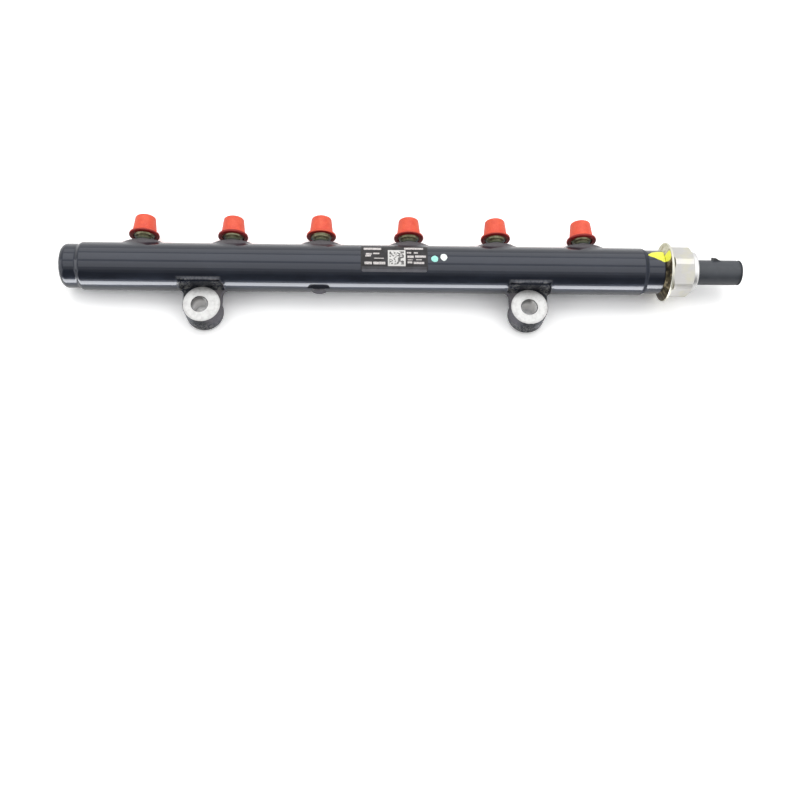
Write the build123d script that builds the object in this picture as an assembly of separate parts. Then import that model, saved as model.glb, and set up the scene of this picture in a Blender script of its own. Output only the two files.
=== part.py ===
from build123d import *
from math import cos, radians, sin
import os

# Common-rail fuel rail, in millimetres.
# +X runs along the tube towards the pressure sensor, +Y from the bolt holes towards the
# fuel ports, +Z along the bolt axes. The origin lies half-way between the two bolt holes,
# on the plane of the seat faces.

# ---------------------------------------------------------------- driving dimensions
# Forged tube
tube_diameter = 27.5
tube_bore = 10.0
left_overhang = 44.4             # first port to the closed end
right_overhang = 45.0            # last port to the sensor end
collar_diameter = 25.4           # turned-down length at each end
collar_length = 9.8
collar_step_length = 1.8
collar_step_round = 2.0          # at both edges of the step
closed_end_round = 3.4
sensor_end_round = 0.5
bore_end_wall = 14.0             # metal left at the closed end
drill_point_angle = 118.0

# Bolt eyes
bolt_spacing = 190.0
bolt_hole_diameter = 9.0
eye_offset = 23.0                # bolt axis to tube axis
eye_diameter = 21.8
eye_height = 14.0                # seat face to machined face
tube_height = 14.0               # seat plane to tube axis
left_eye_shift = 1.2             # forging mismatch of the left eye against its hole
eye_face_chamfer = 0.3
eye_seat_chamfer = 0.8
hole_chamfer = 0.5

# Webs between eyes and tube, and the clearance notch above each machined face
web_width = 21.4
web_top = 8.4                    # above the tube axis
web_bottom = 11.0                # below the tube axis
web_edge_round = 3.0
web_root_fillet = 3.5
notch_length = 25.8
notch_wall = 12.1                # tube axis to the notch's flat wall
notch_floor_drop = 0.6           # machined face down to the notch's floor
notch_corner = 3.0

# Small locating lug under the tube
lug_position = -26.9
lug_radius = 7.3
lug_centre = 7.5                 # tube axis to the lug's own axis
lug_top = 5.0                    # above the tube axis
lug_bottom = 4.5                 # below the tube axis
lug_edge_round = 1.5
lug_notch_length = 14.6
lug_notch_wall = 12.6            # tube axis to the notch's flat wall
lug_notch_floor = 2.0            # above the tube axis

# Fuel ports
port_count = 6
port_pitch = 51.5
port_row_centre = -0.5
port_thread_diameter = 12.0
port_relief_diameter = 8.4
port_relief_length = 2.4
port_length = 9.3                # boss's top to the stub's tip
port_tip_chamfer = 1.3
boss_height = 3.45               # tube's crown to the boss's top
boss_diameter = 9.6
boss_root_fillet = 3.3
cone_mouth_diameter = 8.4
cone_angle = 60.0
port_passage_diameter = 3.4
throttle_diameter = 0.9
throttle_length = 2.5

# Transport caps
cap_gap = 1.8                    # boss's top to the rim of a fully seated cap
cap_lifts = (0.3, 0.0, 0.9, 0.5, 0.5, 0.0)
cap_length = 12.0
cap_rim_diameter = 17.4
cap_rim_thickness = 1.3
cap_rim_round = 0.5
cap_skirt_fillet = 1.7
cap_base_diameter = 14.1
cap_crown_diameter = 11.7
cap_crown_round = 1.0
cap_top_thickness = 1.3
cap_mouth_diameter = 12.8
cap_grip_clearance = 0.05
cap_grip_start = 4.0             # rim to the start of the grip
cap_grip_end = 6.3
cap_core_top_diameter = 9.8

# Sensor port in the rail's end, and the sensor's threaded nose
port_m18_diameter = 18.0
sensor_thread_clearance = 0.05
sensor_port_depth = 12.5
nose_seal_diameter = 14.6
nose_seal_length = 1.6
sensor_channel_diameter = 2.6

# Dished washer between rail and sensor
washer_diameter = 34.4
washer_thickness = 1.5
washer_dish = 2.4
washer_flat_diameter = 25.0
washer_bore_clearance = 0.2
washer_rim_round = 0.4

# Sensor hexagon
hex_across_flats = 27.0
hex_corner_diameter = 29.4       # the corners are turned down
hex_length = 12.75
hex_sides = 6
hex_gap = 0.4                    # washer's rim to the hexagon
hex_chamfer_diameter = 25.8
hex_chamfer_angle = 30.0
shoulder_diameter = 24.0
pilot_diameter = 21.6
pilot_length = 1.1
hex_cavity_diameter = 18.0
hex_floor_thickness = 3.2

# Crimped collar and plug housing
crimp_diameter = 24.0
crimp_length = 3.2
crimp_round = 1.2
crimp_mouth_diameter = 17.0
crimp_clearance = 0.05
plug_flange_thickness = 1.3
plug_diameter = 14.6
plug_neck_diameter = 13.4
plug_neck_length = 1.3
plug_length = 27.5               # collar's front to the plug's mouth
plug_wall = 1.5
plug_socket_depth = 16.0
plug_mouth_round = 0.4
plug_groove_depth = 0.6
plug_groove_width = 1.6
plug_groove_setback = 0.6        # mouth to the groove
catch_angle = 32.0               # from +Y towards +Z
catch_setback = 16.4             # mouth to the catch's steep face
catch_length = 5.4
catch_flat = 1.4                 # level top of the catch, behind its steep face
catch_width = 4.4
catch_height = 1.4

# Inside the sensor
cell_diameter = 9.0
cell_height = 4.6
cell_wall = 1.2
diaphragm_thickness = 0.5
board_diameter = 15.8
board_thickness = 1.2
board_setback = 3.4              # plug flange down to the board
ring_wall = 1.3
ring_clearance = 0.1
seal_section = 1.3
terminal_count = 3
terminal_pitch = 3.0
terminal_width = 1.5
terminal_thickness = 0.6
terminal_recess = 6.5            # mouth to the blade tips

# Label
label_left = -2.9
label_length = 38.2
label_angle = 83.5               # middle of the label, from +Y towards +Z
label_span = 77.0
label_thickness = 0.12
label_corner = 1.5

# ---------------------------------------------------------------- derived values
tube_radius = tube_diameter / 2
collar_radius = collar_diameter / 2
port_radius = port_thread_diameter / 2
eye_radius = eye_diameter / 2
face_level = eye_height - tube_height      # machined eye face, from the tube axis
seat_level = -tube_height                  # seat plane, from the tube axis
boss_top = tube_radius + boss_height       # these three from the tube axis
port_tip = boss_top + port_length
cap_seat = boss_top + cap_gap
notch_floor = face_level - notch_floor_drop
first_port = port_row_centre - port_pitch * (port_count - 1) / 2
port_positions = [first_port + port_pitch * i for i in range(port_count)]
left_end = port_positions[0] - left_overhang
right_end = port_positions[-1] + right_overhang
hole_positions = (-bolt_spacing / 2, bolt_spacing / 2)
eye_positions = (hole_positions[0] + left_eye_shift, hole_positions[1])

washer_front = right_end + washer_thickness            # flat part, where the shoulder seats
hex_back = washer_front + washer_dish + hex_gap
hex_front = hex_back + hex_length
cavity_floor = hex_back + hex_floor_thickness
pilot_front = hex_front + pilot_length
flange_front = pilot_front + plug_flange_thickness
crimp_front = hex_front + crimp_length
plug_mouth = crimp_front + plug_length
board_front = pilot_front - board_setback
terminal_tip = plug_mouth - terminal_recess
pilot_bore_diameter = hex_cavity_diameter + 2 * seal_section

# The tube axis, where every piece is drawn, to the row's frame
TO_FRAME = Location((0, eye_offset, tube_height))
CUT_MARGIN = 1.0                           # how far a cutting tool runs past a face


def cotangent(angle):
    """Cotangent of an angle in degrees."""
    return cos(radians(angle)) / sin(radians(angle))


def half_section(points):
    """A closed face from points (u, v) or (u, v, corner radius)."""
    corners = [point[:2] for point in points]
    rounds = [point[2] if len(point) > 2 else 0 for point in points]
    return make_face(FilletPolyline(*corners, radius=rounds, close=True))


def turned(points):
    """A piece turned about the tube axis, from half-section points (x, radius)."""
    return revolve(half_section(points), Axis.X, 360)


def ring(x_from, x_to, outer_diameter, inner_diameter):
    """A plain ring on the tube axis."""
    inner, outer = inner_diameter / 2, outer_diameter / 2
    return turned([(x_from, inner), (x_to, inner), (x_to, outer), (x_from, outer)])


def rod(x_from, x_to, diameter):
    """A plain cylinder on the tube axis."""
    radius = diameter / 2
    return turned([(x_from, 0), (x_to, 0), (x_to, radius), (x_from, radius)])


def upright(x, y, z_from, z_to, radius):
    """A cylinder along +Z."""
    standing = (Align.CENTER, Align.CENTER, Align.MIN)
    return Pos(x, y, z_from) * Cylinder(radius, z_to - z_from, align=standing)


def port_turned(x, points):
    """A piece turned about a port's axis (+Y), from half-section points (radius, y)."""
    return Pos(x, 0, 0) * revolve(half_section(points), Axis.Y, 360)


# ---------------------------------------------------------------- rail body
def tube_blank():
    """The tube with its turned-down ends, still solid."""
    left_step = left_end + collar_length
    right_step = right_end - collar_length
    return turned([
        (left_end, 0),
        (left_end, collar_radius, closed_end_round),
        (left_step, collar_radius, collar_step_round),
        (left_step + collar_step_length, tube_radius, collar_step_round),
        (right_step - collar_step_length, tube_radius, collar_step_round),
        (right_step, collar_radius, collar_step_round),
        (right_end, collar_radius, sensor_end_round),
        (right_end, 0),
    ])


def blended(body, addition, radius):
    """Two solids joined, with a fillet along the new seam."""
    joined = body + addition
    return fillet(new_edges(body, addition, combined=joined), radius)


def web(x):
    """The forged web that carries an eye, as a rounded bar across the tube."""
    height = web_top + web_bottom
    middle = (web_top - web_bottom) / 2
    outline = Plane.XZ * RectangleRounded(web_width, height, web_edge_round)
    return Pos(x, 0, middle) * extrude(outline, eye_offset)


def lug():
    """The locating lug, a round-nosed boss on the tube's flank."""
    body = upright(lug_position, -lug_centre, -lug_bottom, lug_top, lug_radius)
    rims = body.edges().filter_by(GeomType.CIRCLE)
    return fillet(rims, lug_edge_round)


def flank_notch(x, length, wall, floor):
    """The tool for the bolt-head clearance: a flat wall beside the tube over a flat floor."""
    depth = 2 * eye_offset
    height = tube_radius - floor
    outline = RectangleRounded(length, depth, notch_corner)
    return Pos(x, -wall - depth / 2, floor) * extrude(outline, height)


def eye(x):
    """The upright boss of one eye."""
    boss = upright(x, -eye_offset, seat_level, face_level, eye_radius)
    face_rim = boss.edges().filter_by(GeomType.CIRCLE).sort_by(Axis.Z)[-1]
    boss = chamfer([face_rim], eye_face_chamfer)
    seat_rim = boss.edges().filter_by(GeomType.CIRCLE).sort_by(Axis.Z)[0]
    return chamfer([seat_rim], eye_seat_chamfer)


def bolt_hole(x):
    """The tool for one bolt hole, with a chamfer at both faces."""
    radius = bolt_hole_diameter / 2
    mouth = radius + hole_chamfer
    section = half_section([
        (0, seat_level - CUT_MARGIN),
        (mouth, seat_level - CUT_MARGIN),
        (mouth, seat_level),
        (radius, seat_level + hole_chamfer),
        (radius, face_level - hole_chamfer),
        (mouth, face_level),
        (mouth, face_level + CUT_MARGIN),
        (0, face_level + CUT_MARGIN),
    ])
    return Pos(x, -eye_offset, 0) * revolve(Plane.XZ * section, Axis.Z, 360)


def port_boss(x):
    """The round boss under one port, from the tube's axis to its flat top."""
    radius = boss_diameter / 2
    return port_turned(x, [(0, 0), (radius, 0), (radius, boss_top), (0, boss_top)])


def port_stub(x):
    """The stub of one port, plain at its thread's outer diameter, with a relief at its root."""
    relief_radius = port_relief_diameter / 2
    relief_end = boss_top + port_relief_length
    blend = port_radius - relief_radius
    return port_turned(x, [
        (0, 0),
        (relief_radius, 0),
        (relief_radius, relief_end - blend),
        (port_radius, relief_end),
        (port_radius, port_tip - port_tip_chamfer),
        (port_radius - port_tip_chamfer, port_tip),
        (0, port_tip),
    ])


def port_drilling(x):
    """The tool for one port's sealing cone, passage and throttle, down to the long bore."""
    mouth = cone_mouth_diameter / 2
    passage = port_passage_diameter / 2
    throttle = throttle_diameter / 2
    cone_depth = (mouth - passage) * cotangent(cone_angle / 2)
    throttle_top = tube_bore / 2 + throttle_length
    return port_turned(x, [
        (0, 0),
        (throttle, 0),
        (throttle, throttle_top),
        (passage, throttle_top),
        (passage, port_tip - cone_depth),
        (mouth, port_tip),
        (mouth, port_tip + CUT_MARGIN),
        (0, port_tip + CUT_MARGIN),
    ])


def long_bore():
    """The tool for the fuel bore and the sensor's port at its open end."""
    bore = tube_bore / 2
    port = port_m18_diameter / 2
    blind_end = left_end + bore_end_wall
    point_length = bore * cotangent(drill_point_angle / 2)
    port_floor = right_end - sensor_port_depth
    return turned([
        (blind_end, 0),
        (blind_end + point_length, bore),
        (port_floor, bore),
        (port_floor, port),
        (right_end + CUT_MARGIN, port),
        (right_end + CUT_MARGIN, 0),
    ])


def rail_body():
    """The whole forged and machined body, one piece."""
    body = tube_blank()
    for x in eye_positions:
        body = blended(body, web(x), web_root_fillet)
    for x in port_positions:
        body = blended(body, port_boss(x), boss_root_fillet)
    body += lug()
    body -= flank_notch(lug_position, lug_notch_length, lug_notch_wall, lug_notch_floor)
    for x in eye_positions:
        body -= flank_notch(x, notch_length, notch_wall, notch_floor)
        body += eye(x)
    for x in hole_positions:
        body -= bolt_hole(x)
    for x in port_positions:
        body += port_stub(x)
    body -= long_bore()
    for x in port_positions:
        body -= port_drilling(x)
    return body


# ---------------------------------------------------------------- port caps
def port_cap(x, lift):
    """One push-on cap: flared rim, tapered thin wall, gripping the thread over a short length."""
    rim = cap_seat + lift
    top = rim + cap_length
    rim_top = rim + cap_rim_thickness
    outer = port_turned(x, [
        (0, rim),
        (cap_rim_diameter / 2, rim, cap_rim_round),
        (cap_rim_diameter / 2, rim_top, cap_rim_round),
        (cap_base_diameter / 2, rim_top, cap_skirt_fillet),
        (cap_crown_diameter / 2, top, cap_crown_round),
        (0, top),
    ])
    mouth = cap_mouth_diameter / 2
    grip = port_radius + cap_grip_clearance
    core_top = top - cap_top_thickness
    core = port_turned(x, [
        (0, rim - CUT_MARGIN),
        (mouth, rim - CUT_MARGIN),
        (mouth, rim),
        (grip, rim + cap_grip_start),
        (grip, rim + cap_grip_end),
        (cap_core_top_diameter / 2, core_top),
        (0, core_top),
    ])
    return outer - core


# ---------------------------------------------------------------- washer and sensor
def cone_washer():
    """The dished washer: flat at its bore, where shoulder and rail clamp it, coned outside."""
    bore = port_m18_diameter / 2 + washer_bore_clearance
    flat = washer_flat_diameter / 2
    rim = washer_diameter / 2
    back, front = right_end, washer_front
    return turned([
        (back, bore),
        (back, flat),
        (back + washer_dish, rim, washer_rim_round),
        (front + washer_dish, rim, washer_rim_round),
        (front, flat),
        (front, bore),
    ])


def sensor_hex():
    """The steel hexagon with its shoulder, threaded nose, cavity and pilot."""
    flats = hex_across_flats / 2
    half_side_angle = 180 / hex_sides
    corner = hex_corner_diameter / 2
    chamfer_radius = hex_chamfer_diameter / 2
    chamfer_length = (corner - chamfer_radius) / cotangent(hex_chamfer_angle)
    outline = RegularPolygon(flats, hex_sides, major_radius=False, rotation=half_side_angle)
    prism = Pos(hex_back, 0, 0) * extrude(Plane.YZ * outline, hex_length)
    envelope = turned([
        (hex_back, 0),
        (hex_back, chamfer_radius),
        (hex_back + chamfer_length, corner),
        (hex_front - chamfer_length, corner),
        (hex_front, chamfer_radius),
        (hex_front, 0),
    ])
    nut = prism & envelope
    thread_diameter = port_m18_diameter - 2 * sensor_thread_clearance
    nose_end = right_end - sensor_port_depth
    nut += rod(washer_front, hex_back, shoulder_diameter)
    nut += rod(nose_end + nose_seal_length, washer_front, thread_diameter)
    nut += rod(nose_end, nose_end + nose_seal_length, nose_seal_diameter)
    nut += rod(hex_front, pilot_front, pilot_diameter)
    nut -= rod(nose_end - CUT_MARGIN, cavity_floor + CUT_MARGIN, sensor_channel_diameter)
    nut -= rod(cavity_floor, pilot_front + CUT_MARGIN, hex_cavity_diameter)
    nut -= rod(pilot_front - seal_section, pilot_front + CUT_MARGIN, pilot_bore_diameter)
    return nut


def pressure_cell():
    """The measuring cell: a steel cup whose closed end is the diaphragm."""
    cup = rod(cavity_floor, cavity_floor + cell_height, cell_diameter)
    inside = cell_diameter - 2 * cell_wall
    return cup - rod(cavity_floor, cavity_floor + cell_height - diaphragm_thickness, inside)


def circuit_board():
    """The round board across the cavity."""
    return rod(board_front - board_thickness, board_front, board_diameter)


def board_ring():
    """The plastic carrier that stands on the cavity's floor and holds the board in a step."""
    outer = hex_cavity_diameter - 2 * ring_clearance
    board_back = board_front - board_thickness
    body = ring(cavity_floor, board_front, outer, board_diameter - 2 * ring_wall)
    return body - rod(board_back, board_front + CUT_MARGIN, board_diameter)


def seal_ring():
    """The rubber ring pressed between the plug's flange and the hexagon's step."""
    radius = (pilot_bore_diameter - seal_section) / 2
    middle = pilot_front - seal_section / 2
    return Pos(middle, 0, 0) * Rot(0, 90, 0) * Torus(radius, seal_section / 2)


def crimp_collar():
    """The rolled steel collar that clamps the plug's flange to the hexagon's pilot."""
    outer = crimp_diameter / 2
    inner = pilot_diameter / 2 + crimp_clearance
    mouth = crimp_mouth_diameter / 2
    return turned([
        (hex_front, inner),
        (hex_front, outer),
        (crimp_front, outer, crimp_round),
        (crimp_front, mouth),
        (flange_front, mouth),
        (flange_front, inner),
    ])


def terminal_offsets():
    """Where the terminals stand across the socket."""
    first = -terminal_pitch * (terminal_count - 1) / 2
    return [first + terminal_pitch * i for i in range(terminal_count)]


def terminal_bar(offset, x_from, x_to):
    """A flat bar along the tube axis, at one terminal's place."""
    length = x_to - x_from
    blank = Box(length, terminal_thickness, terminal_width, align=(Align.MIN, Align.CENTER, Align.CENTER))
    return Pos(x_from, 0, offset) * blank


def catch():
    """The wedge on the housing that the mating plug's latch snaps over."""
    steep = plug_mouth - catch_setback
    seat = plug_diameter / 2 - plug_wall / 2
    peak = plug_diameter / 2 + catch_height
    wedge = half_section([
        (steep, seat),
        (steep, peak),
        (steep + catch_flat, peak),
        (steep + catch_length, seat),
    ])
    block = extrude(wedge, catch_width / 2, both=True)
    return Rot(catch_angle, 0, 0) * block


def plug_housing():
    """The moulded plug housing with its flange, neck, socket and catch."""
    outer = plug_diameter / 2
    neck = plug_neck_diameter / 2
    flange = (pilot_diameter - 2 * crimp_clearance) / 2
    socket = outer - plug_wall
    groove = outer - plug_groove_depth
    groove_front = plug_mouth - plug_groove_setback
    groove_back = groove_front - plug_groove_width
    neck_end = crimp_front + plug_neck_length
    housing = turned([
        (pilot_front, 0),
        (pilot_front, flange),
        (flange_front, flange),
        (flange_front, neck),
        (neck_end, neck),
        (neck_end, outer),
        (groove_back, outer),
        (groove_back, groove),
        (groove_front, groove),
        (groove_front, outer),
        (plug_mouth, outer, plug_mouth_round),
        (plug_mouth, 0),
    ])
    housing += catch()
    housing -= rod(plug_mouth - plug_socket_depth, plug_mouth + CUT_MARGIN, 2 * socket)
    for offset in terminal_offsets():
        housing -= terminal_bar(offset, pilot_front - CUT_MARGIN, plug_mouth)
    return housing


def terminal(offset):
    """One blade, from the board through the housing's floor into the socket."""
    return terminal_bar(offset, board_front, terminal_tip)


# ---------------------------------------------------------------- label
def label():
    """The film label wrapped on the tube, with rounded corners."""
    film = ring(label_left, label_left + label_length, tube_diameter + 2 * label_thickness, tube_diameter)
    width = 2 * tube_radius * sin(radians(label_span / 2))
    reach = tube_radius + 2 * label_thickness
    outline = RectangleRounded(label_length, width, label_corner)
    window = Pos(label_left + label_length / 2, 0, 0) * extrude(outline, reach)
    return film & (Rot(label_angle - 90, 0, 0) * window)


# ---------------------------------------------------------------- export
def pieces():
    """Every node's name and solid, drawn about the tube axis."""
    named = {"rail_body": rail_body()}
    for i, (x, lift) in enumerate(zip(port_positions, cap_lifts), start=1):
        named[f"port_cap_{i}"] = port_cap(x, lift)
    named["cone_washer"] = cone_washer()
    named["sensor_hex"] = sensor_hex()
    named["pressure_cell"] = pressure_cell()
    named["circuit_board"] = circuit_board()
    named["board_ring"] = board_ring()
    named["seal_ring"] = seal_ring()
    named["crimp_collar"] = crimp_collar()
    named["plug_housing"] = plug_housing()
    for i, offset in enumerate(terminal_offsets(), start=1):
        named[f"terminal_{i}"] = terminal(offset)
    named["label"] = label()
    return named


os.makedirs("parts", exist_ok=True)
for node, solid in pieces().items():
    export_step(TO_FRAME * solid, f"parts/{node}.step")
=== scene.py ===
from functools import reduce
from math import cos, degrees, pi, radians, sin, sqrt, tau

import bpy
from mathutils import Matrix, Vector


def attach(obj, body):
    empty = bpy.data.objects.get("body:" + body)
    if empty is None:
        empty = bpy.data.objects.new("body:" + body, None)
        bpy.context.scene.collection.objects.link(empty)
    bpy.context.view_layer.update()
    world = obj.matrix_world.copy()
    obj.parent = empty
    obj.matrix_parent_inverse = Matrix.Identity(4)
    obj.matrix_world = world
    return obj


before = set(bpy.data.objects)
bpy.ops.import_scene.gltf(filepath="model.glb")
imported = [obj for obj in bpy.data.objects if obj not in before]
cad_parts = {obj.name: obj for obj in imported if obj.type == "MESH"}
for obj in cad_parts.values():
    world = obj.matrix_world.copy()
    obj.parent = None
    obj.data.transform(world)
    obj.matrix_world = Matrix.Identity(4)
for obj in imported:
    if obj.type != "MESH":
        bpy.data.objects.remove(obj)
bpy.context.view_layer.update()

# ---------------------------------------------------------------- the rail's own measures, in mm
MM = 0.001
TUBE_Y, TUBE_Z = 23.0, 14.0                 # the tube's axis
TUBE_R, COLLAR_R = 13.75, 12.7
RAIL_END, COLLAR_LENGTH, STEP_LENGTH = 173.25, 9.8, 1.8
STEP_END = RAIL_END - COLLAR_LENGTH
STEP_START = STEP_END - STEP_LENGTH
HOLES, HOLE_R = (-95.0, 95.0), 4.5
EYE_R, EYE_SHIFT = 10.9, (1.2, 0.0)         # each eye's shift along the tube against its hole
NOTCH_WALL = 12.1                           # tube axis to the flat wall beside an eye's face
PORTS = [-129.25 + 51.5 * i for i in range(6)]
BOSS_TOP, STUB_R, THREAD_PITCH = 17.2, 6.0, 1.5
THREAD_REACH = 1.2                          # a stub's outside to where its thread's relief ends
CAP_SEAT = 19.0
WASHER_FLAT_R, WASHER_R, WASHER_DISH = 12.5, 17.2, 2.4
CATCH_R = 7.5                               # outside this, the plug shows only its catch
LABEL_LEFT, LABEL_LENGTH = -2.9, 38.2
FLOOR_CONTACTS = ((-162.05, 0.25), (176.4, -3.2))

# ---------------------------------------------------------------- camera
IMAGE_SIZE = 800
FOCAL_PIXELS = 900.0
SENSOR_WIDTH = 36.0
CAMERA_AT = (-1.86, -206.76, 492.74)
CAMERA_AZIMUTH, CAMERA_DOWN, CAMERA_ROLL = 8.05, 72.47, 7.95
CLIP_NEAR, CLIP_FAR = 0.01, 20.0


def make_camera():
    """The camera above the rail, looking down along +Y, rolled a little."""
    azimuth, down, roll = (radians(a) for a in (CAMERA_AZIMUTH, CAMERA_DOWN, CAMERA_ROLL))
    forward = Vector((sin(azimuth) * cos(down), cos(azimuth) * cos(down), -sin(down)))
    level = forward.cross(Vector((0, 0, 1))).normalized()
    rise = level.cross(forward)
    right = cos(roll) * level + sin(roll) * rise
    up = cos(roll) * rise - sin(roll) * level
    data = bpy.data.cameras.new("camera")
    data.sensor_width = SENSOR_WIDTH
    data.lens = SENSOR_WIDTH * FOCAL_PIXELS / IMAGE_SIZE
    data.clip_start, data.clip_end = CLIP_NEAR, CLIP_FAR
    camera = bpy.data.objects.new("camera", data)
    turn = Matrix((right, up, -forward)).transposed().to_4x4()
    camera.matrix_world = Matrix.Translation(Vector(CAMERA_AT) * MM) @ turn
    bpy.context.scene.collection.objects.link(camera)
    bpy.context.scene.camera = camera


make_camera()
bpy.context.scene.view_settings.view_transform = "Standard"


# ---------------------------------------------------------------- shader expressions
class Field:
    """A value that varies over a surface: a socket that can stand in a Python expression."""

    def __init__(self, shading, socket):
        self.shading, self.socket = shading, socket

    def math(self, operation, *values, clamp=False):
        settings = {"operation": operation, "use_clamp": clamp}
        return self.shading.node("ShaderNodeMath", settings, dict(enumerate(values)))

    def __add__(self, other):
        return self.math("ADD", self, other)

    def __sub__(self, other):
        return self.math("SUBTRACT", self, other)

    def __rsub__(self, other):
        return self.math("SUBTRACT", other, self)

    def __mul__(self, other):
        return self.math("MULTIPLY", self, other)

    def __truediv__(self, other):
        return self.math("DIVIDE", self, other)

    __radd__, __rmul__ = __add__, __mul__

    def size(self):
        return self.math("ABSOLUTE", self)

    def sign(self):
        return self.math("SIGN", self)

    def smaller(self, other):
        return self.math("MINIMUM", self, other)

    def larger(self, other):
        return self.math("MAXIMUM", self, other)

    def power(self, exponent):
        return self.math("POWER", self, exponent)

    def sine(self):
        return self.math("SINE", self)

    def saw(self):
        return self.math("FRACT", self)

    def above(self, edge, soft):
        """1 where the value is above the edge, 0 below it, over a soft width."""
        return self.math("ADD", (self - edge) / soft, 0.5, clamp=True)

    def below(self, edge, soft):
        return 1 - self.above(edge, soft)

    def between(self, low, high, soft):
        return self.above(low, soft) * self.below(high, soft)


class Shading:
    """A node tree, and the one method that adds nodes to it."""

    def __init__(self, tree):
        self.tree = tree

    def feed(self, socket, value):
        """Gives a socket a field, a colour, a vector or a number."""
        if isinstance(value, Field):
            self.tree.links.new(value.socket, socket)
        elif isinstance(value, tuple) and len(value) < len(socket.default_value):
            socket.default_value = (*value, 1)
        else:
            socket.default_value = value

    def node(self, kind, settings, inputs, output=0):
        """Adds a node: its settings, then the values or links of its sockets."""
        node = self.tree.nodes.new(kind)
        stops = settings.pop("stops", None)
        for key, value in settings.items():
            setattr(node, key, value)
        if stops:
            elements = node.color_ramp.elements
            while len(elements) < len(stops):
                elements.new(1)
            for element, (position, colour) in zip(elements, stops):
                element.position, element.color = position, (*colour, 1)
        for key, value in inputs.items():
            self.feed(node.inputs[key], value)
        return Field(self, node.outputs[output])

    def split(self, vector):
        """The three fields of a vector field."""
        outputs = self.node("ShaderNodeSeparateXYZ", {}, {0: vector}).socket.node.outputs
        return [Field(self, output) for output in outputs]

    def mix(self, factor, a, b):
        """Colour a where the factor is 0, and b where it is 1."""
        return self.node("ShaderNodeMix", {"data_type": "RGBA"}, {0: factor, 6: a, 7: b}, 2)


class Finish(Shading):
    """One material, with the constants of its shader's sockets."""

    IOR = 1.5

    def __init__(self, name, constants):
        self.material = bpy.data.materials.new(name)
        self.material.use_nodes = True
        super().__init__(self.material.node_tree)
        self.shader = self.tree.nodes["Principled BSDF"]
        self.coordinates = None
        self.set("IOR", self.IOR)
        for socket, value in constants.items():
            self.set(socket, value)

    def set(self, socket, value):
        """Gives one of the shader's sockets a constant or a field."""
        self.feed(self.shader.inputs[socket], value)

    def place(self):
        """The point on the surface, in mm about the tube's axis, as a vector field."""
        if self.coordinates is None:
            at = self.node("ShaderNodeTexCoord", {}, {}, "Object")
            about = self.node("ShaderNodeVectorMath", {"operation": "SUBTRACT"},
                              {0: at, 1: (0.0, TUBE_Y * MM, TUBE_Z * MM)})
            self.coordinates = self.node("ShaderNodeVectorMath", {"operation": "SCALE"},
                                         {0: about, "Scale": 1 / MM})
        return self.coordinates

    def xyz(self):
        """The same point as three fields."""
        return self.split(self.place())

    def noise(self, grain, detail, rough, stretch=(1.0, 1.0, 1.0), seed=0.0):
        """Noise whose grains are about so many mm across, drawn out along the axes by stretch."""
        scale = tuple(1 / (grain * s) for s in stretch)
        at = self.node("ShaderNodeVectorMath", {"operation": "MULTIPLY"}, {0: self.place(), 1: scale})
        return self.node("ShaderNodeTexNoise", {"noise_dimensions": "4D"},
                         {"Vector": at, "W": seed, "Scale": 1.0, "Detail": detail, "Roughness": rough})

    def bump(self, height, depth):
        """Feeds a height field, 1 of which stands for so many mm, to the normal."""
        self.set("Normal", self.node("ShaderNodeBump", {}, {
            "Strength": 1.0, "Distance": depth * MM, "Height": height}))

    def cover(self, *names):
        """Puts the finish on CAD nodes."""
        for name in names:
            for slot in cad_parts[name].material_slots:
                slot.material = self.material


def length_of(*fields):
    """The length of a vector given by two or three fields."""
    return reduce(Field.__add__, (field * field for field in fields)).power(0.5)


def angle_round(y, z):
    """The angle about the tube's axis, in degrees, from +Y towards +Z."""
    return z.math("ARCTAN2", z, y) * degrees(1)


def nearest(distances):
    """The smallest of several fields."""
    return reduce(Field.smaller, distances)


def weighted(fields, shares):
    """The sum of named fields, each times its share."""
    return reduce(Field.__add__, (fields[name] * share for name, share in shares.items()))


# ---------------------------------------------------------------- scene-only forms' measures, in mm
FLARE_TOP, FLARE_SINK = 15.9, 0.06
FLARE_NECK, FLARE_CROWN, FLARE_FOOT = (3.6, 3.6), (8.0, 4.2), (14.6, 11.4)
FLARE_STEPS, FLARE_RINGS = 64, 14
DAB_STEPS, DAB_RINGS, DAB_SINK = 6, 6, 0.05

# ---------------------------------------------------------------- finishes of the rail body
# Edges of the body's regions, each with its soft width, in mm or degrees
SHARP = 0.05
IN_FACE, FACE_LEVEL, FACE_WALL = (EYE_R - 0.25, SHARP), (-0.12, SHARP), (-NOTCH_WALL - 0.1, SHARP)
SEAT_LEVEL, IN_HOLE = (-TUBE_Z + 0.1, SHARP), (HOLE_R + 0.04, SHARP)
IN_STUB, STUB_FROM = (STUB_R + 0.3, SHARP), (FLARE_TOP + 0.1, SHARP)
IN_MOUTH, MOUTH_FROM = (STUB_R - THREAD_REACH, SHARP), (BOSS_TOP - 0.02, SHARP)
NECK_BELOW = (BOSS_TOP, 0.2)
WEB_EDGE, SKIN_FRONT, SKIN_LIFT = (12.2, 1.5), (-9.0, 0.5), (TUBE_R + 0.3, 0.25)
# The ridge band gets a painted reflection, grey along the shoulder above each eye
RIDGE_ANGLES, RIDGE_SOFT, PAST_RIDGE_SOFT = (137.5, 143.5), 3.0, 2.0
# The hollow band is painted shade, near black, in the crease above each eye
HOLLOW_BAND = (145.0, 151.0, 2.0)
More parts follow.
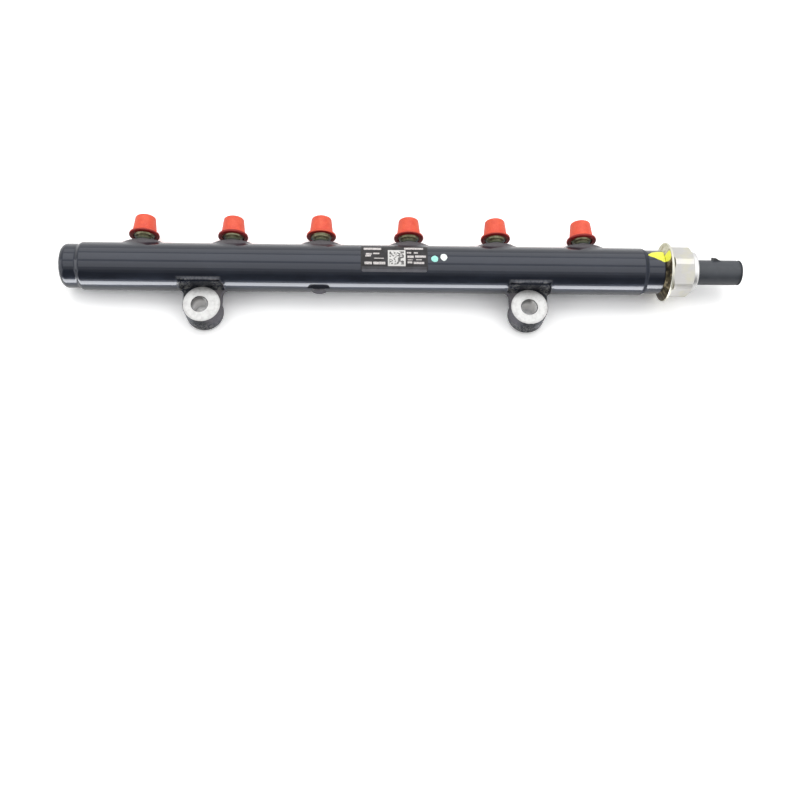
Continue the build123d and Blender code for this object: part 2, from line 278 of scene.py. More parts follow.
# A ring of painted shade round each eye's face
UNDERCUT_BAND, UNDERCUT_FROM = (EYE_R - 0.2, EYE_R + 1.6, 0.8), (-5.5, 3.0)
FOOT_LIGHT_REACH, FOOT_LIGHT_LIFT = (13.5, 4.0), (TUBE_R + 0.35, 0.6)
STEP_BAND = (STEP_START - 0.4, STEP_END + 0.3, 0.3)
WORN_EDGE, BORE_SHADE, BORE_DEPTH, BORE_SLANT = (EYE_R - 1.2, 1.0), (2.6, 2.0), (-4.5, 4.0), 0.8
MILLING_PITCH = 0.45
FOOT_LIGHT_LEAST, FOOT_LIGHT_SPREAD = 0.7, 0.3          # share of the feet's painted light off the crust, and its rise on it
RIDGE_LEAST, RIDGE_SPREAD = 0.35, 0.5

# Noises, and the share of a noise's range over which each turns from 0 to 1
HAZE, HAZE_EDGE = dict(grain=9.0, detail=4.0, rough=0.6, stretch=(3.0, 1.0, 1.0)), (0.56, 0.25)
GRIT, GRIT_EDGE = dict(grain=0.5, detail=2.0, rough=0.6, seed=3.0), (0.66, 0.10)
RUB = dict(grain=1.1, detail=3.0, rough=0.7, stretch=(14.0, 1.0, 1.0), seed=7.0)
RUB_EDGE = (0.66, 0.06)
CRUST = dict(grain=1.3, detail=3.0, rough=0.7, seed=21.0)
CRUST_EDGE, FOOT_LIGHT_EDGE, RIDGE_EDGE = (0.50, 0.14), (0.45, 0.3), (0.47, 0.3)
STAIN = dict(grain=2.2, detail=3.0, rough=0.6, seed=11.0)
STAIN_ON_STEEL, STAIN_ON_ZINC = (0.56, 0.2), (0.5, 0.3)
PEEL = dict(grain=1.4, detail=2.0, rough=0.5, stretch=(1.6, 1.0, 1.0), seed=5.0)
SWELL = dict(grain=13.0, detail=2.0, rough=0.5, stretch=(2.5, 1.0, 1.0), seed=9.0)

INK_BLUE, INK_HAZE, INK_SHEEN = (0.0060, 0.0074, 0.0120), (0.018, 0.022, 0.033), (0.40, 0.55, 1.0)
CRUST_GREY, RIDGE_PAINTED_REFLECTION = (0.150, 0.148, 0.138), (0.115, 0.118, 0.128)
STEP_GREY, PAINTED_SHADE_BLACK = (0.045, 0.049, 0.060), (0.002, 0.002, 0.002)
# Painted light for the ports' feet, paler than the paint
FOOT_PAINTED_LIGHT = (0.120, 0.111, 0.114)
FACED_STEEL, WORN_STEEL = (0.56, 0.56, 0.55), (0.38, 0.375, 0.37)
BORE_PAINTED_LIGHT, BORE_PAINTED_SHADE = (0.95, 0.94, 0.92), (0.25, 0.24, 0.23)
OLIVE_ZINC, PALE_ZINC, NECK_ZINC = (0.15, 0.14, 0.08), (0.34, 0.33, 0.21), (0.080, 0.092, 0.060)

# What each region does to the paint, from the bottom layer up: its share and its colour
PAINT_LAYERS = (
    ("wear", 1.0, INK_HAZE), ("crusted", 1.0, CRUST_GREY), ("undercut", 0.8, PAINTED_SHADE_BLACK),
    ("foot_painted_light", 1.0, FOOT_PAINTED_LIGHT), ("ridge", 1.0, RIDGE_PAINTED_REFLECTION), ("step", 0.5, STEP_GREY),
    ("hollow", 1.0, PAINTED_SHADE_BLACK))
WEAR = {"haze": 0.35, "grit": 0.25, "rub": 0.3}
LOST_COAT = {"rough": 0.85, "hollow": 1.0, "foot_painted_light": 1.0, "step": 0.85}
PAINT_ROUGHNESS, BARE_ROUGHNESS, STAIN_DULLING = 0.30, 0.34, 0.14
BARE_METALLIC, BORE_LOSS, HOLLOW_METALLIC, WORN_SHARE = 0.9, 0.75, 0.6, 0.5
DULLING = {"haze": 0.10, "grit": 0.15, "rub": 0.2, "rough": 0.3, "foot_painted_light": 0.3, "step": 0.25}
COAT_RELIEF = {"peel": 0.05, "swell": 0.9, "grit": 0.03, "crags": 1.6}
BARE_RELIEF = {"milled": 0.05, "threaded": 1.3, "stain": 0.03}
RELIEF_DEPTH = 0.25


def machined_regions(x, y, z):
    """Where the forging is machined: the eyes' faces and seats, the bolt holes and the stubs."""
    centres = [(hole + shift, hole) for hole, shift in zip(HOLES, EYE_SHIFT)]
    from_eye = nearest(length_of(x - eye, y + TUBE_Y) for eye, hole in centres)
    from_hole = nearest(length_of(x - hole, y + TUBE_Y) for eye, hole in centres)
    from_port = nearest(length_of(x - port, z) for port in PORTS)
    in_face = from_eye.below(*IN_FACE)
    faced = in_face * z.above(*FACE_LEVEL) * y.below(*FACE_WALL)
    seat = in_face * z.below(*SEAT_LEVEL)
    bored = from_hole.below(*IN_HOLE)
    plated = from_port.below(*IN_STUB) * y.above(*STUB_FROM)
    in_mouth = from_port.below(*IN_MOUTH) * y.above(*MOUTH_FROM)
    milling = (from_hole * (tau / MILLING_PITCH)).sine() * 0.5 + 0.5
    thread = (((y - BOSS_TOP) / THREAD_PITCH).saw() - 0.5).size() * 2
    return {
        "from_eye": from_eye, "from_port": from_port, "bored": bored, "plated": plated,
        "bare": faced.larger(seat).larger(bored).larger(plated),
        "milled": milling * faced, "threaded": thread * plated * (1 - in_mouth)}


def forged_regions(paint, cut, x, y, z):
    """Where the paint isn't a plain gloss coat: worn, crusted or on an edge, with painted shade round
    and above the eyes, a painted reflection on the ridge and painted light on the ports' matte feet.
    """
    radius, angle = length_of(y, z), angle_round(y, z)
    crust = paint.noise(**CRUST)
    by_eye = (x.size() - HOLES[1]).size().below(*WEB_EDGE)
    past_ridge = by_eye * angle.size().above(RIDGE_ANGLES[1], PAST_RIDGE_SOFT)
    rough = y.below(*SKIN_FRONT) * radius.above(*SKIN_LIFT).larger(past_ridge)
    at_foot = cut["from_port"].below(*FOOT_LIGHT_REACH) * radius.above(*FOOT_LIGHT_LIFT)
    regions = {
        "haze": paint.noise(**HAZE).above(*HAZE_EDGE),
        "grit": paint.noise(**GRIT).above(*GRIT_EDGE),
        "rub": paint.noise(**RUB).above(*RUB_EDGE),
        "peel": paint.noise(**PEEL),
        "swell": paint.noise(**SWELL),
        "rough": rough,
        "crags": rough * crust,
        "crusted": rough * crust.above(*CRUST_EDGE),
        # painted shade in a ring round each eye's face
        "undercut": rough * cut["from_eye"].between(*UNDERCUT_BAND) * z.above(*UNDERCUT_FROM),
        # painted light: a paler, matte colour on the ports' feet that lifts the shade under the caps
        "foot_painted_light": at_foot * (FOOT_LIGHT_LEAST + crust.above(*FOOT_LIGHT_EDGE) * FOOT_LIGHT_SPREAD),
        # painted reflection along the shoulder above each eye
        "ridge": by_eye * angle.between(*RIDGE_ANGLES, RIDGE_SOFT) * (
            RIDGE_LEAST + crust.above(*RIDGE_EDGE) * RIDGE_SPREAD),
        "step": x.between(*STEP_BAND),
        # painted shade in the crease above each eye
        "hollow": by_eye * angle.between(*HOLLOW_BAND)}
    regions["wear"] = weighted(regions, WEAR)
    return regions


def bare_metal(paint, cut, stain, x, y, z):
    """The colour of the machined metal: faced steel, the holes' walls with painted light and painted
    shade, and plated stubs.
    """
    worn = (stain.above(*STAIN_ON_STEEL) + cut["from_eye"].above(*WORN_EDGE)) * WORN_SHARE
    steel = paint.mix(worn, FACED_STEEL, WORN_STEEL)
    # Each hole's wall is near white as painted light, with painted shade on its far, upper side
    beside_hole = (x.size() - HOLES[1]) * x.sign()
    far_side = (y + TUBE_Y - beside_hole * BORE_SLANT).above(*BORE_SHADE)
    bore = paint.mix(far_side * z.above(*BORE_DEPTH), BORE_PAINTED_LIGHT, BORE_PAINTED_SHADE)
    steel = paint.mix(cut["bored"], steel, bore)
    zinc = paint.mix(stain.above(*STAIN_ON_ZINC), OLIVE_ZINC, PALE_ZINC)
    zinc = paint.mix(y.below(*NECK_BELOW), zinc, NECK_ZINC)
    return paint.mix(cut["plated"], steel, zinc)


def paint_on_forging():
    """Gloss blue-black paint over the forging, with bare steel where it is machined."""
    paint = Finish("black_paint", {
        "Coat Roughness": 0.05, "Specular IOR Level": 0.20, "Specular Tint": INK_SHEEN})
    x, y, z = paint.xyz()
    cut = machined_regions(x, y, z)
    skin = forged_regions(paint, cut, x, y, z)
    stain = paint.noise(**STAIN)
    bare = cut["bare"]
    coated = 1 - bare

    painted = INK_BLUE
    for name, share, colour in PAINT_LAYERS:
        painted = paint.mix(skin[name] * share, painted, colour)
    paint.set("Base Color", paint.mix(bare, painted, bare_metal(paint, cut, stain, x, y, z)))
    metallic = bare * (BARE_METALLIC - cut["bored"] * BORE_LOSS)
    # The crease's painted shade is metallic too, so its near-black colour shows no reflection
    paint.set("Metallic", metallic + skin["hollow"] * coated * HOLLOW_METALLIC)
    coat = coated
    for name, share in LOST_COAT.items():
        coat = coat * (1 - skin[name] * share)
    paint.set("Coat Weight", coat)
    dull = PAINT_ROUGHNESS + weighted(skin, DULLING)
    paint.set("Roughness", dull * coated + (BARE_ROUGHNESS + stain * STAIN_DULLING) * bare)
    cut["stain"] = stain
    paint.bump(weighted(skin, COAT_RELIEF) * coated + weighted(cut, BARE_RELIEF), RELIEF_DEPTH)
    paint.cover("rail_body")
    return paint


body_paint = paint_on_forging()


# ---------------------------------------------------------------- caps
CAP_RED, CAP_DEEP, CAP_PALE = (0.80, 0.110, 0.045), (0.66, 0.050, 0.024), (0.86, 0.18, 0.10)
CAP_SHADE, SHADE_BELOW = (0.26, 0.006, 0.006), (CAP_SEAT + 1.15, 0.5)


def cap_plastic():
    """Soft orange-red plastic with a mottled skin and pale specks of dust."""
    plastic = Finish("red_cap", {"Specular IOR Level": 0.45})
    _, y, _ = plastic.xyz()
    cloud = plastic.noise(grain=3.5, detail=3.0, rough=0.6)
    speck = plastic.noise(grain=0.45, detail=2.0, rough=0.6, seed=2.0)
    colour = plastic.mix(cloud.above(edge=0.5, soft=0.5), CAP_DEEP, CAP_RED)
    colour = plastic.mix(speck.above(edge=0.62, soft=0.2) * 0.5, colour, CAP_PALE)
    plastic.set("Base Color", plastic.mix(y.below(*SHADE_BELOW), colour, CAP_SHADE))
    plastic.set("Roughness", 0.34 + cloud * 0.2)
    plastic.bump(cloud * 0.5 + speck * 0.08, depth=0.18)
    plastic.cover(*[f"port_cap_{i}" for i in range(1, len(PORTS) + 1)])


cap_plastic()


# ---------------------------------------------------------------- washer and sensor
# Colour ramps over the tint's noise: the position of each stop, and its colour
PALE_PLATING = [(0.35, (0.40, 0.34, 0.17)), (0.47, (0.55, 0.54, 0.38)), (0.62, (0.72, 0.70, 0.60))]
# The second ramp is painted shade
PAINTED_SHADE_PLATING = [
    (0.38, (0.030, 0.024, 0.016)), (0.50, (0.085, 0.070, 0.040)), (0.64, (0.30, 0.25, 0.16))]
PALE_RIM, RIM_FROM = (0.78, 0.77, 0.68), (WASHER_R - 0.3, 0.2)
BROWN_ABOVE, BROWN_BELOW = (66.0, 14.0), (-100.0, 14.0)
REAR_FACE, REAR_SLOPE, REAR_SOFT = RAIL_END + 1.2, 0.5, 0.2
WASHER_TURNING, CRIMP_ROLLING = 0.35, 0.5   # pitch of the tool marks
HEX_STEEL, HEX_STRAW, HEX_STREAK = (0.61, 0.60, 0.585), (0.66, 0.64, 0.50), (0.74, 0.73, 0.72)
CRIMP_BRIGHT, CRIMP_DULL = (0.74, 0.74, 0.735), (0.58, 0.57, 0.56)
PLUG_DARK, PLUG_GREY = (0.034, 0.039, 0.048), (0.048, 0.054, 0.064)
CATCH_PAINTED_SHADE = (0.010, 0.011, 0.013)
PARTING_LINE = (0.12, 0.1)


def plated_washer():
    """Yellow-passivated zinc, greenish and ochre in patches, with painted shade in dark brown on the
    rear face's side towards -Y, and paler rims.
    """
    zinc = Finish("yellow_zinc", {"Metallic": 0.9})
    x, y, z = zinc.xyz()
    radius, angle = length_of(y, z), angle_round(y, z)
    tint = zinc.noise(grain=3.2, detail=3.0, rough=0.6)
    pale = zinc.node("ShaderNodeValToRGB", {"stops": PALE_PLATING}, {0: tint})
    painted_shade = zinc.node("ShaderNodeValToRGB", {"stops": PAINTED_SHADE_PLATING}, {0: tint})
    # Painted shade, dark brown, on the rear face's side towards -Y
    lower = angle.above(*BROWN_ABOVE).larger(angle.below(*BROWN_BELOW))
    rear = x.below(REAR_FACE + (radius - WASHER_FLAT_R) * REAR_SLOPE, REAR_SOFT)
    hue = zinc.mix(lower * rear, pale, painted_shade)
    zinc.set("Base Color", zinc.mix(radius.above(*RIM_FROM) * 0.8, hue, PALE_RIM))
    grain = zinc.noise(grain=0.4, detail=2.0, rough=0.6, seed=4.0)
    zinc.set("Roughness", 0.26 + grain * 0.22)
    turning = (radius * (tau / WASHER_TURNING)).sine()
    zinc.bump(turning * 0.08 + grain * 0.3, depth=0.06)
    zinc.cover("cone_washer")


def bright_hexagon():
    """Bright turned and milled steel with a faint straw tint."""
    steel = Finish("bright_steel", {"Metallic": 1.0})
    tint = steel.noise(grain=7.0, detail=3.0, rough=0.55, seed=1.0)
    streak = steel.noise(grain=0.5, detail=2.0, rough=0.6, stretch=(8.0, 1.0, 1.0), seed=2.0)
    colour = steel.mix(tint.above(edge=0.55, soft=0.2) * 0.6, HEX_STEEL, HEX_STRAW)
    steel.set("Base Color", steel.mix(streak.above(edge=0.6, soft=0.2) * 0.35, colour, HEX_STREAK))
    steel.set("Roughness", 0.36 + streak * 0.2)
    steel.bump(streak * 0.5 + tint * 0.3, depth=0.04)
    steel.cover("sensor_hex")


def crimp_finish():
    """Rolled stainless collar, brighter than the hexagon, with fine rolling marks."""
    steel = Finish("crimp_steel", {"Metallic": 1.0})
    x, y, z = steel.xyz()
    rolled = steel.noise(grain=0.35, detail=2.0, rough=0.6, stretch=(1.0, 6.0, 6.0))
    steel.set("Base Color", steel.mix(rolled.above(edge=0.55, soft=0.3) * 0.4, CRIMP_BRIGHT, CRIMP_DULL))
    steel.set("Roughness", 0.26 + rolled * 0.2)
    lines = ((x + length_of(y, z)) * (tau / CRIMP_ROLLING)).sine()
    steel.bump(lines * 0.06 + rolled * 0.25, depth=0.05)
    steel.cover("crimp_collar")


def moulded_plug():
    """Dark grey moulded plastic with a fine eroded grain and a parting line; the catch, the same
    plastic, gets painted shade near black.
    """
    plastic = Finish("plug_plastic", {"Specular IOR Level": 0.55})
    _, y, z = plastic.xyz()
    cloud = plastic.noise(grain=4.0, detail=3.0, rough=0.6)
    grain = plastic.noise(grain=0.22, detail=2.0, rough=0.7, seed=2.0)
    colour = plastic.mix(cloud.above(edge=0.5, soft=0.4) * 0.6, PLUG_DARK, PLUG_GREY)
    # Painted shade: the catch, outside CATCH_R, is drawn near black
    plastic.set("Base Color", plastic.mix(length_of(y, z).above(CATCH_R, soft=0.2), colour, CATCH_PAINTED_SHADE))
    plastic.set("Roughness", 0.30 + grain * 0.2)
    plastic.bump(grain * 0.25 + z.size().below(*PARTING_LINE) * 0.5, depth=0.05)
    plastic.cover("plug_housing")


# ---------------------------------------------------------------- inside the sensor
CELL_STEEL, CARRIER_GREY = (0.60, 0.60, 0.61), (0.10, 0.10, 0.11)
BOARD_GREEN, BOARD_PALE = (0.015, 0.13, 0.05), (0.03, 0.20, 0.09)
RUBBER_BLACK, RUBBER_BLOOM = (0.015, 0.015, 0.016), (0.04, 0.04, 0.042)
TIN_WARM, TIN_BRIGHT = (0.66, 0.62, 0.54), (0.78, 0.77, 0.75)


def inner_finishes():
    """The finishes of what is inside the sensor, and the terminals."""
    cell = Finish("cell_steel", {"Base Color": CELL_STEEL, "Metallic": 1.0})
    cell_grain = cell.noise(grain=0.4, detail=2.0, rough=0.6)
    cell.set("Roughness", 0.22 + cell_grain * 0.2)
    cell.bump(cell_grain, depth=0.02)
    cell.cover("pressure_cell")

    board = Finish("board_laminate", {"Roughness": 0.3})
    weave = board.noise(grain=0.5, detail=1.0, rough=0.5)
    board.set("Base Color", board.mix(weave, BOARD_GREEN, BOARD_PALE))
    board.bump(weave, depth=0.02)
    board.cover("circuit_board")

    carrier = Finish("ring_plastic", {"Base Color": CARRIER_GREY})
    skin = carrier.noise(grain=0.3, detail=2.0, rough=0.6)
    carrier.set("Roughness", 0.42 + skin * 0.2)
    carrier.bump(skin, depth=0.03)
    carrier.cover("board_ring")

    rubber = Finish("seal_rubber", {"Roughness": 0.6})
    bloom = rubber.noise(grain=1.2, detail=2.0, rough=0.6)
    rubber.set("Base Color", rubber.mix(bloom, RUBBER_BLACK, RUBBER_BLOOM))
    rubber.bump(bloom, depth=0.02)
    rubber.cover("seal_ring")

    tin = Finish("terminal_tin", {"Metallic": 1.0})
    rub = tin.noise(grain=0.3, detail=2.0, rough=0.6, stretch=(6.0, 1.0, 1.0))
    tin.set("Base Color", tin.mix(rub.above(edge=0.5, soft=0.3), TIN_WARM, TIN_BRIGHT))
    tin.set("Roughness", 0.22 + rub * 0.2)
    tin.bump(rub, depth=0.02)
    tin.cover(*[f"terminal_{i}" for i in range(1, 4)])


plated_washer()
bright_hexagon()
crimp_finish()
moulded_plug()
inner_finishes()


# ---------------------------------------------------------------- label
FILM, FILM_PALE = (0.014, 0.012, 0.012), (0.120, 0.120, 0.135)
PRINT_PINK, PRINT_WHITE = (0.68, 0.64, 0.63), (0.66, 0.65, 0.635)
# Left edge, length (mm), angle and height (degrees) of each printed bar
PRINT_BARS = (
    (-1.3, 10.0, 59.6, 7.6), (0.0, 3.4, 77.6, 4.4), (4.0, 3.6, 76.0, 3.6), (-0.4, 3.2, 83.0, 3.6),
    (4.6, 5.6, 89.5, 1.8), (-0.8, 4.2, 101.4, 5.4), (4.2, 6.8, 101.4, 5.6), (21.9, 10.9, 57.2, 7.4),
    (23.4, 2.4, 73.0, 4.4), (27.4, 2.2, 73.0, 4.0), (23.6, 3.6, 84.6, 5.4), (28.0, 6.2, 83.8, 5.2),
    (23.8, 2.8, 92.6, 1.8), (28.6, 3.2, 92.2, 1.8), (23.7, 2.7, 99.0, 4.2), (27.2, 6.0, 100.2, 4.4))
BAR_WEIGHT, PRINT_LEAST, FLECK_SHARE = 1.1, 0.40, 0.85
SQUARE_X, SQUARE_ANGLES = (12.5, 22.6), (64.3, 108.3)
BORDER_X, BORDER_ANGLE = 0.9, 4.0           # width of the square's plain border
PRINT_SOFT_X, FLECK_SOFT_X, MARGIN_SOFT_X = 0.25, 0.2, 0.3
BAR_SOFT_ANGLE, SQUARE_SOFT_ANGLE = 1.6, 1.2
MARGIN_FROM, MARGIN_FULL, MARGIN_INSET, MARGIN_THIN = (109.5, 1.5), (115.5, 1.5), 0.6, 0.45


def printed_film():
    """Dark film with pale printed bars, a pale square with dark flecks and a paler margin."""
    film = Finish("label_film", {"Specular IOR Level": 0.25})
    x, y, z = film.xyz()
    angle = angle_round(y, z)
    bars = reduce(Field.larger, (
        x.between(left, left + length, PRINT_SOFT_X) * angle.between(
            middle - height * BAR_WEIGHT / 2, middle + height * BAR_WEIGHT / 2, BAR_SOFT_ANGLE)
        for left, length, middle, height in PRINT_BARS))
    smudge = film.noise(grain=0.55, detail=2.0, rough=0.7, stretch=(1.6, 1.0, 1.0))
    bars = bars * (PRINT_LEAST + smudge.above(edge=0.44, soft=0.2) * (1 - PRINT_LEAST))

    (left, right), (bottom, top) = SQUARE_X, SQUARE_ANGLES
    square = x.between(left, right, PRINT_SOFT_X) * angle.between(bottom, top, SQUARE_SOFT_ANGLE)
    inside = x.between(left + BORDER_X, right - BORDER_X, FLECK_SOFT_X) * angle.between(
        bottom + BORDER_ANGLE, top - BORDER_ANGLE, SQUARE_SOFT_ANGLE)
    flecks = film.noise(grain=1.7, detail=1.0, rough=0.5, stretch=(1.0, 0.8, 0.8), seed=6.0)
    flecks = flecks.above(edge=0.50, soft=0.06) * inside

    label_right = LABEL_LEFT + LABEL_LENGTH
    margin = x.between(LABEL_LEFT + MARGIN_INSET, label_right - MARGIN_INSET, MARGIN_SOFT_X)
    margin = margin * angle.above(*MARGIN_FROM) * angle.above(*MARGIN_FULL).larger(MARGIN_THIN)
    cloud = film.noise(grain=4.0, detail=2.0, rough=0.6, seed=8.0)
    colour = film.mix(cloud.above(edge=0.5, soft=0.4) * 0.25 + margin * 0.75, FILM, FILM_PALE)
    colour = film.mix(bars, colour, PRINT_PINK)
    film.set("Base Color", film.mix(square * (1 - flecks * FLECK_SHARE), colour, PRINT_WHITE))
    film.set("Roughness", 0.30 + cloud * 0.15)
    film.bump(smudge * 0.2 + square * 0.4 + bars * 0.3, depth=0.02)
    film.cover("label")


printed_film()


# ---------------------------------------------------------------- port feet and paint marks
TEAL, TEAL_PALE = (0.26, 0.72, 0.63), (0.45, 0.85, 0.77)
WHITE, WHITE_PALE = (0.80, 0.90, 0.86), (0.92, 0.95, 0.92)
YELLOW, YELLOW_PALE = (0.78, 0.80, 0.03), (0.86, 0.86, 0.10)
# Middle (mm along the tube and degrees round it), half widths, and the outline's unevenness
TEAL_DOT = (39.25, 88.9, 2.05, 8.9, (1.0, 1.04, 0.97, 1.0, 1.05, 0.96, 1.0, 0.98))
WHITE_DOT = (44.5, 84.2, 2.05, 9.8, (1.0, 0.97, 1.03, 0.99, 0.98, 1.04, 1.0, 0.95))
# Corners, as mm along the tube or from its axis, and degrees round it
STROKE_ON_TUBE = [
    (163.6, 65.5), (165.6, 56.0), (168.8, 49.5), (172.9, 48.0), (173.22, 62.0),
    (173.22, 78.0), (172.9, 89.0), (170.2, 83.5), (167.3, 76.0), (164.9, 70.5)]
STROKE_ON_WASHER = [
    (12.8, 68.0), (14.8, 64.5), (16.6, 65.5), (16.9, 74.0), (16.7, 84.0), (15.2, 90.0),
    (12.8, 88.0), (12.7, 77.0)]
DOT_THICKNESS, STROKE_THICKNESS = 0.10, 0.12


def on_tube(radius):
    """Maps (x, angle in degrees, lift) to a point on a tube of that radius, in metres."""
    def point(x, angle, lift):
        reach, turn = radius + lift, radians(angle)
        return Vector((x, TUBE_Y + reach * cos(turn), TUBE_Z + reach * sin(turn))) * MM
    return point


def on_washer(reach, angle, lift):
    """Maps (distance from the axis, angle, lift) to a point on the washer's hollow rear face."""
    slope = WASHER_DISH / (WASHER_R - WASHER_FLAT_R)
    x = RAIL_END + (reach - WASHER_FLAT_R) * slope - lift
    turn = radians(angle)
    return Vector((x, TUBE_Y + reach * cos(turn), TUBE_Z + reach * sin(turn))) * MM


def smooth_loop(corners, steps):
    """A closed Catmull-Rom loop through the corners."""
    loop, count = [], len(corners)
    for i in range(count):
        before, here, there, beyond = (Vector(corners[(i + k) % count]) for k in (-1, 0, 1, 2))
        for j in range(steps):
            t = j / steps
            loop.append(0.5 * (2 * here + (there - before) * t
                               + (2 * before - 5 * here + 4 * there - beyond) * t ** 2
                               + (3 * here - before - 3 * there + beyond) * t ** 3))
    return loop


def ring_faces(rings, count):
    """The quads that join so many rings of vertices, each to the next one."""
    faces = []
    for inner in range(0, rings * count, count):
        outer = inner + count
        for i in range(count):
            j = (i + 1) % count
            faces.append((inner + i, inner + j, outer + j, outer + i))
    return faces


def finished_mesh(name, vertices, faces, finish):
    """A smooth-shaded piece that rides on the rail."""
    mesh = bpy.data.meshes.new(name)
    mesh.from_pydata(vertices, [], faces)
    mesh.materials.append(finish.material)
    mesh.shade_smooth()
    piece = bpy.data.objects.new(name, mesh)
    bpy.context.scene.collection.objects.link(piece)
    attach(piece, "root")


def dab(name, corners, place, thickness, finish):
    """A dab of thick paint: a low dome over a smooth outline, its edge sunk in what carries it."""
    loop = smooth_loop(corners, DAB_STEPS)
    centre = sum(loop, Vector((0, 0))) / len(loop)
    vertices = []
    for ring in range(DAB_RINGS + 1):
        share = 1 - ring / (DAB_RINGS + 1)
        lift = thickness * sqrt(1 - share ** 4) - DAB_SINK * (ring == 0)
        vertices += [place(*(centre + (corner - centre) * share), lift) for corner in loop]
    vertices.append(place(*centre, thickness))
    count, top = len(loop), len(vertices) - 1
    last = DAB_RINGS * count
    crown = [(last + i, last + (i + 1) % count, top) for i in range(count)]
    finished_mesh(name, vertices, ring_faces(DAB_RINGS, count) + crown, finish)


def tube_skin(z):
    """The height of the tube's surface over its axis, along +Y, at a distance z beside it."""
    return sqrt(TUBE_R ** 2 - z ** 2)


def port_flare(number, port):
    """The low forged foot of a port: flat about the neck, then a smooth slope down into the tube."""
    vertices = []
    for ring in range(FLARE_RINGS + 1):
        share = max(ring - 1, 0) / (FLARE_RINGS - 1)
        slope = share ** 2 * (3 - 2 * share)
        from_x, from_z = FLARE_CROWN if ring else FLARE_NECK
        to_x, to_z = FLARE_FOOT
        for step in range(FLARE_STEPS):
            turn = tau * step / FLARE_STEPS
            x = (from_x + (to_x - from_x) * share) * cos(turn)
            z = (from_z + (to_z - from_z) * share) * sin(turn)
            lift = FLARE_TOP - tube_skin(from_z * sin(turn))
            y = tube_skin(z) + lift * (1 - slope) - FLARE_SINK * slope
            vertices.append(Vector((port + x, TUBE_Y + y, TUBE_Z + z)) * MM)
    faces = ring_faces(FLARE_RINGS, FLARE_STEPS)
    finished_mesh(f"port_foot_{number}", vertices, faces, body_paint)


def mark_paint(name, colour, pale):
    """Marking paint, a little streaky."""
    paint = Finish(name, {})
    streak = paint.noise(grain=0.7, detail=3.0, rough=0.6, stretch=(2.5, 1.0, 1.0))
    paint.set("Base Color", paint.mix(streak.above(edge=0.5, soft=0.35), colour, pale))
    paint.set("Roughness", 0.3 + streak * 0.25)
    paint.bump(streak, depth=0.06)
    return paint


def uneven_round(x, angle, half_x, half_angle, wobble):
    """Corners of a slightly uneven round, in mm along the tube and degrees round it."""
    turns = [tau * i / len(wobble) for i in range(len(wobble))]
    return [(x + half_x * w * cos(turn), angle + half_angle * w * sin(turn))
            for turn, w in zip(turns, wobble)]


def paint_marks():
    """The two round dots beside the label and the yellow stroke at the sensor's end."""
    teal = mark_paint("teal_mark", TEAL, TEAL_PALE)
    white = mark_paint("white_mark", WHITE, WHITE_PALE)
    yellow = mark_paint("yellow_mark", YELLOW, YELLOW_PALE)
    dab("dot_teal", uneven_round(*TEAL_DOT), on_tube(TUBE_R), DOT_THICKNESS, teal)
    dab("dot_white", uneven_round(*WHITE_DOT), on_tube(TUBE_R), DOT_THICKNESS, white)
    dab("stroke_tube", STROKE_ON_TUBE, on_tube(COLLAR_R), STROKE_THICKNESS, yellow)
    dab("stroke_washer", STROKE_ON_WASHER, on_washer, STROKE_THICKNESS, yellow)


paint_marks()
for number, port in enumerate(PORTS, 1):
    port_flare(number, port)


# ---------------------------------------------------------------- floor and room
FLOOR_REACH, FLOOR_SIDES = 1.2, 96
FLOOR_WHITE, FLOOR_SEEN = (0.84, 0.84, 0.84), (1.25, 1.25, 1.25)
ROOM_DIM, ROOM_BRIGHT, ROOM_SEEN, ROOM_TURN = 0.16, 0.95, 1.0, 0.45


def make_floor():
    """A round pale table, tipped by a fraction of a degree to touch the tube and the washer."""
    (x0, z0), (x1, z1) = FLOOR_CONTACTS
    slope = (z1 - z0) / (x1 - x0)
    turns = [tau * i / FLOOR_SIDES for i in range(FLOOR_SIDES)]
    corners = [(FLOOR_REACH * cos(turn), FLOOR_REACH * sin(turn)) for turn in turns]
    mesh = bpy.data.meshes.new("floor")
    mesh.from_pydata([(x, y, z0 * MM + slope * (x - x0 * MM)) for x, y in corners], [],
                     [tuple(range(FLOOR_SIDES))])
    floor = bpy.data.objects.new("floor", mesh)
    bpy.context.scene.collection.objects.link(floor)
    table = Finish("table_white", {"Roughness": 0.9, "Specular IOR Level": 0.0})
    seen = table.node("ShaderNodeLightPath", {}, {}, "Is Camera Ray")
    table.set("Base Color", table.mix(seen, FLOOR_WHITE, FLOOR_SEEN))
    mesh.materials.append(table.material)


def make_room():
    """A room that is dim before the rail and brighter behind it; white to the camera."""
    world = bpy.data.worlds.new("room")
    bpy.context.scene.world = world
    world.use_nodes = True
    room = Shading(world.node_tree)
    background = room.tree.nodes["Background"]
    _, y, _ = room.split(room.node("ShaderNodeTexCoord", {}, {}, "Generated"))
    glow = room.node("ShaderNodeMapRange", {"interpolation_type": "SMOOTHSTEP"}, {
        "Value": y, "From Min": -ROOM_TURN, "From Max": ROOM_TURN,
        "To Min": ROOM_DIM, "To Max": ROOM_BRIGHT})
    seen = room.node("ShaderNodeLightPath", {}, {}, "Is Camera Ray")
    strength = room.node("ShaderNodeMix", {"data_type": "FLOAT"}, {0: seen, 2: glow, 3: ROOM_SEEN})
    room.feed(background.inputs["Strength"], strength)
    room.feed(background.inputs["Color"], (1, 1, 1))


make_floor()
make_room()

# ---------------------------------------------------------------- lamps, in m
ALONG_X, ALONG_Y, DOWN, FORWARD = (1, 0, 0), (0, 1, 0), (0, 0, -1), (0, -1, 0)
LAMP_X, LAMP_LENGTH, LAMP_Z = 0.12, 1.7, 1.2
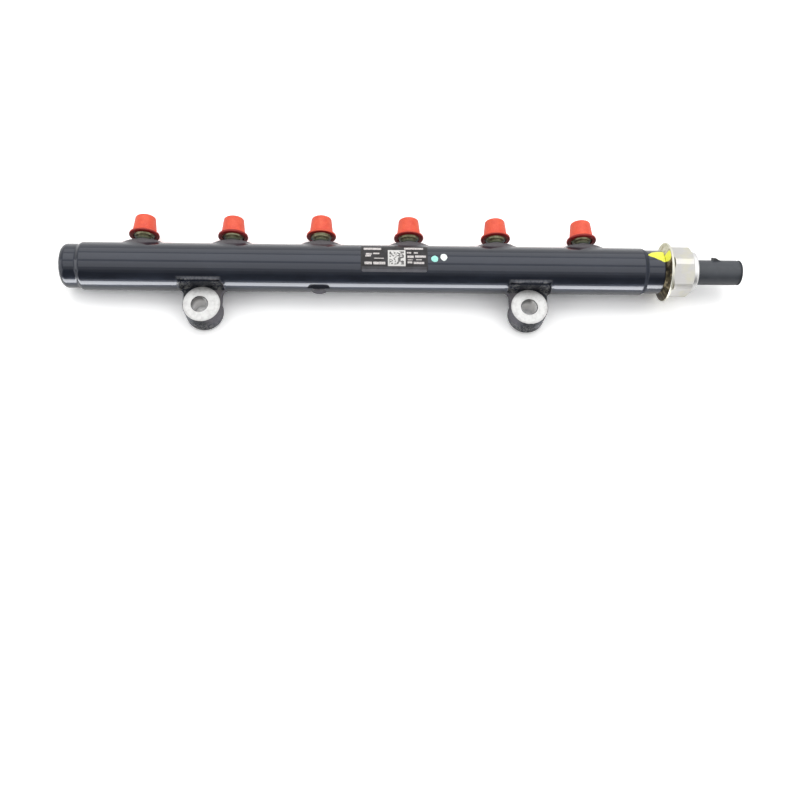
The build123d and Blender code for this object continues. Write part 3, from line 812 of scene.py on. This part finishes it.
# Name, place along Y, width and radiance of each overhead lamp
OVERHEAD_LAMPS = (
    ("lamp_behind", 0.62, 0.90, 1.20),
    ("lamp_between", 0.075, 0.19, 0.40),
    ("lamp_above", -0.33, 0.62, 0.90))
FILL_Z, FILL_LAMP = 1.3, ("lamp_fill_behind", 0.62, 0.90, 0.40)
GLINT_Z, GLINT_ABOVE = 1.21, ("lamp_above_glint", -0.33, 0.62, 0.50)
GLINTS_BEFORE = (("lamp_before", -0.845, 0.41, 0.60), ("lamp_far_before", -1.36, 0.62, 0.22))
BACKDROP_Y, BACKDROP_Z, BACKDROP_WIDTH, BACKDROP_RADIANCE = 1.30, 0.84, 0.72, 0.75
SIDE_X, SIDE_Y, SIDE_Z, SIDE_TILT = 1.15, -0.50, 0.62, -0.5
SIDE_LENGTH, SIDE_WIDTH, SIDE_RADIANCE = 1.5, 1.1, 1.3
# Name, start and end along X of each thin strip low before the tube
STRIPS = (("left", -0.200, -0.104), ("middle", -0.086, 0.0865), ("right", 0.104, 0.182))
STRIP_Y, STRIP_Z, STRIP_WIDTH, STRIP_RADIANCE = -0.014, 0.0078, 0.0138, 7.8


def make_lamp(name, centre, facing, side, along, across, radiance):
    """A rectangular soft lamp: its middle, the way it faces, the run of its length, and its size."""
    data = bpy.data.lights.new(name, "AREA")
    data.shape = "RECTANGLE"
    data.size, data.size_y = along, across
    data.energy = radiance * along * across * pi
    lamp = bpy.data.objects.new(name, data)
    forward = Vector(facing).normalized()
    run = Vector(side)
    up = run.cross(forward)
    turn = Matrix((run, up, -forward)).transposed().to_4x4()
    lamp.matrix_world = Matrix.Translation(Vector(centre)) @ turn
    lamp.visible_camera = False
    bpy.context.scene.collection.objects.link(lamp)
    return lamp


def overhead(name, y, across, radiance, z=LAMP_Z):
    """A long lamp that faces down, over the rail or beside it."""
    return make_lamp(name, (LAMP_X, y, z), DOWN, ALONG_X, LAMP_LENGTH, across, radiance)


def make_lamps():
    """Lamps for light and shade, and lamps that are seen in reflections only."""
    for lamp in OVERHEAD_LAMPS:
        overhead(*lamp)
    overhead(*FILL_LAMP, FILL_Z).visible_glossy = False
    glints = [overhead(*GLINT_ABOVE, GLINT_Z)]
    glints += [overhead(*lamp) for lamp in GLINTS_BEFORE]
    glints.append(make_lamp("lamp_backdrop", (LAMP_X, BACKDROP_Y, BACKDROP_Z), FORWARD, ALONG_X,
                            LAMP_LENGTH, BACKDROP_WIDTH, BACKDROP_RADIANCE))
    for name, hand in (("lamp_left", -1), ("lamp_right", 1)):
        make_lamp(name, (hand * SIDE_X, SIDE_Y, SIDE_Z), (-hand, 0, SIDE_TILT), ALONG_Y,
                  SIDE_LENGTH, SIDE_WIDTH, SIDE_RADIANCE)
    for name, start, end in STRIPS:
        glints.append(make_lamp(f"strip_{name}", ((start + end) / 2, STRIP_Y, STRIP_Z), ALONG_Y,
                                ALONG_X, end - start, STRIP_WIDTH, STRIP_RADIANCE))
    for lamp in glints:
        lamp.visible_diffuse = False


make_lamps()
